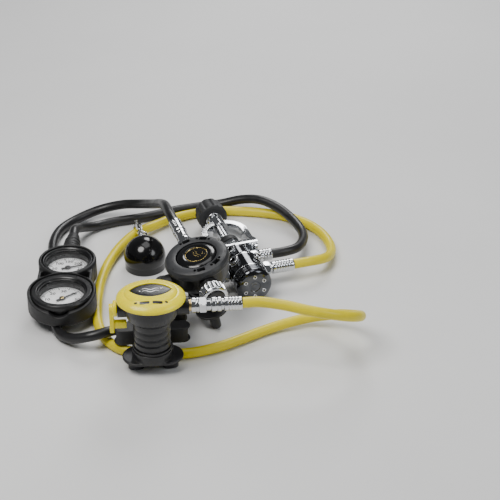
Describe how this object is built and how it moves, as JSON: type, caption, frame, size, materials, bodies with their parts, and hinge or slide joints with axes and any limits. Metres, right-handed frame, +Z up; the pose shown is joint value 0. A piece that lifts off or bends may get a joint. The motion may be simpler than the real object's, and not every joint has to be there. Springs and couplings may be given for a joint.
{
  "type": "scuba regulator set",
  "caption": "Scuba regulator set: yoke first stage, primary and spare second stages, gauge console, hoses and mouthpiece holder, laid out in loops.",
  "frame": {"origin": "middle of the box round the hard pieces, on the surface that the set lies on", "axes": "+Z up from the surface; +Y away from the mouthpiece end of the spare second stage, along the console; +X from the console towards the first stage"},
  "size_m": [0.3877, 0.398, 0.1035],
  "materials": {
    "chrome": "polished",
    "steel": "satin",
    "brass": "satin",
    "black_rubber": "matte",
    "black_plastic": "satin",
    "gloss_black": "gloss",
    "gold": "satin",
    "silicone": "satin",
    "yellow_plastic": "gloss",
    "yellow_hose": "satin",
    "black_hose": "satin",
    "dial": "satin",
    "needle": "satin",
    "glass": "polished"
  },
  "bodies": {
    "root": {"first_stage_body": "chrome", "end_cap": "chrome", "main_spring": "steel", "valve_seat": "black_plastic", "inlet_filter": "brass", "yoke_retainer": "chrome", "yoke": "chrome", "port_plugs": "chrome", "primary_hose_fitting": "chrome", "octopus_hose_fitting": "chrome", "console_hose_fitting": "chrome", "primary_hose": "black_hose", "octopus_hose": "yellow_hose", "console_hose": "black_hose", "primary_case": "black_plastic", "primary_cover_ring": "black_plastic", "primary_diaphragm": "silicone", "primary_valve_barrel": "brass", "primary_exhaust_valve": "silicone", "primary_exhaust_tee": "black_rubber", "primary_mouthpiece": "black_rubber", "primary_mouthpiece_tie": "black_plastic", "primary_hose_nut": "chrome", "octopus_case": "black_plastic", "octopus_cover": "yellow_plastic", "octopus_diaphragm": "silicone", "octopus_valve_barrel": "brass", "octopus_exhaust_valve": "silicone", "octopus_exhaust_tee": "black_rubber", "octopus_mouthpiece": "black_rubber", "octopus_mouthpiece_tie": "black_plastic", "octopus_hose_swivel": "chrome", "console_boot": "black_rubber", "console_hose_sleeve": "black_rubber", "pressure_gauge_case": "black_plastic", "pressure_dial": "dial", "pressure_lens": "glass", "depth_gauge_case": "black_plastic", "depth_dial": "dial", "depth_lens": "glass", "holder_ball": "gloss_black", "holder_swivel": "chrome", "snap_hook": "chrome"},
    "screw_pad": {"screw_pad": "steel"},
    "yoke_screw": {"yoke_screw": "steel", "yoke_knob": "black_rubber"},
    "dust_cap": {"dust_cap": "black_rubber"},
    "piston": {"piston": "brass"},
    "primary_purge": {"primary_purge_button": "gloss_black", "primary_badge": "gold"},
    "primary_lever": {"primary_lever": "steel"},
    "primary_poppet": {"primary_poppet": "black_plastic"},
    "primary_adjust": {"primary_adjust_knob": "black_plastic"},
    "octopus_purge": {"octopus_purge_pad": "gloss_black"},
    "octopus_lever": {"octopus_lever": "steel"},
    "octopus_poppet": {"octopus_poppet": "black_plastic"},
    "octopus_venturi": {"octopus_venturi_lever": "yellow_plastic"},
    "depth_needle": {"depth_needle": "needle"},
    "pressure_needle": {"pressure_needle": "needle"},
    "snap_bolt": {"snap_bolt": "chrome"}
  },
  "joints": [
    {"name": "screw_travel", "type": "slide", "parent": "root", "child": "screw_pad", "axis": [-0.309, 0.9511, 0], "range_m": [0, 0.01]},
    {"name": "knob_turn", "type": "hinge", "parent": "screw_pad", "child": "yoke_screw", "pos_m": [0.06529, 0.11943, 0.022], "axis": [-0.309, 0.9511, 0], "range_deg": [0, 2880]},
    {"name": "dust_cap_lift", "type": "slide", "parent": "root", "child": "dust_cap", "axis": [0, 0, 1], "range_m": [0, 0.034]},
    {"name": "piston_stroke", "type": "slide", "parent": "root", "child": "piston", "axis": [-0.309, 0.9511, 0], "range_m": [0, 0.0012], "stiffness_N_per_m": 3000},
    {"name": "primary_purge", "type": "slide", "parent": "root", "child": "primary_purge", "axis": [0.1736, 0.12, -0.9775], "range_m": [0, 0.003], "stiffness_N_per_m": 600},
    {"name": "primary_lever_tilt", "type": "hinge", "parent": "root", "child": "primary_lever", "pos_m": [0.0504, -0.07488, 0.07868], "axis": [-0.9312, -0.3031, -0.2026], "range_deg": [0, 7.5]},
    {"name": "primary_poppet_stroke", "type": "slide", "parent": "root", "child": "primary_poppet", "axis": [0.3206, -0.9454, -0.0591], "range_m": [0, 0.001]},
    {"name": "primary_adjust_turn", "type": "hinge", "parent": "root", "child": "primary_adjust", "pos_m": [0.05706, -0.08895, 0.06914], "axis": [0.3206, -0.9454, -0.0591], "range_deg": [0, 1080]},
    {"name": "octopus_purge", "type": "slide", "parent": "root", "child": "octopus_purge", "axis": [0, 0.0175, -0.9998], "range_m": [0, 0.003], "stiffness_N_per_m": 600},
    {"name": "octopus_lever_tilt", "type": "hinge", "parent": "root", "child": "octopus_lever", "pos_m": [-0.0296, -0.14747, 0.08977], "axis": [-0.0785, 0.9968, 0.0174], "range_deg": [0, 7.5]},
    {"name": "octopus_poppet_stroke", "type": "slide", "parent": "root", "child": "octopus_poppet", "axis": [-0.9969, -0.0784, -0.0014], "range_m": [0, 0.001]},
    {"name": "octopus_venturi_turn", "type": "hinge", "parent": "root", "child": "octopus_venturi", "pos_m": [-0.04455, -0.14849, 0.08095], "axis": [-0.9969, -0.0784, -0.0014], "range_deg": [0, 60]},
    {"name": "depth_needle_turn", "type": "hinge", "parent": "root", "child": "depth_needle", "pos_m": [-0.11587, -0.04464, 0.0272], "axis": [0, 0, -1], "range_deg": [-40, 180]},
    {"name": "pressure_needle_turn", "type": "hinge", "parent": "root", "child": "pressure_needle", "pos_m": [-0.11587, 0.02337, 0.0272], "axis": [0, 0, -1], "range_deg": [-220, 30]},
    {"name": "snap_bolt_slide", "type": "slide", "parent": "root", "child": "snap_bolt", "axis": [0.2962, -0.8138, 0.5], "range_m": [0, 0.006], "stiffness_N_per_m": 200}
  ],
  "couplings": [
    {"joint": "screw_travel", "follows": "knob_turn", "m_per_rad": 0.00019894},
    {"joint": "primary_lever_tilt", "follows": "primary_purge", "rad_per_m": 43},
    {"joint": "primary_poppet_stroke", "follows": "primary_purge", "ratio": 0.32},
    {"joint": "octopus_lever_tilt", "follows": "octopus_purge", "rad_per_m": 43},
    {"joint": "octopus_poppet_stroke", "follows": "octopus_purge", "ratio": 0.32}
  ]
}
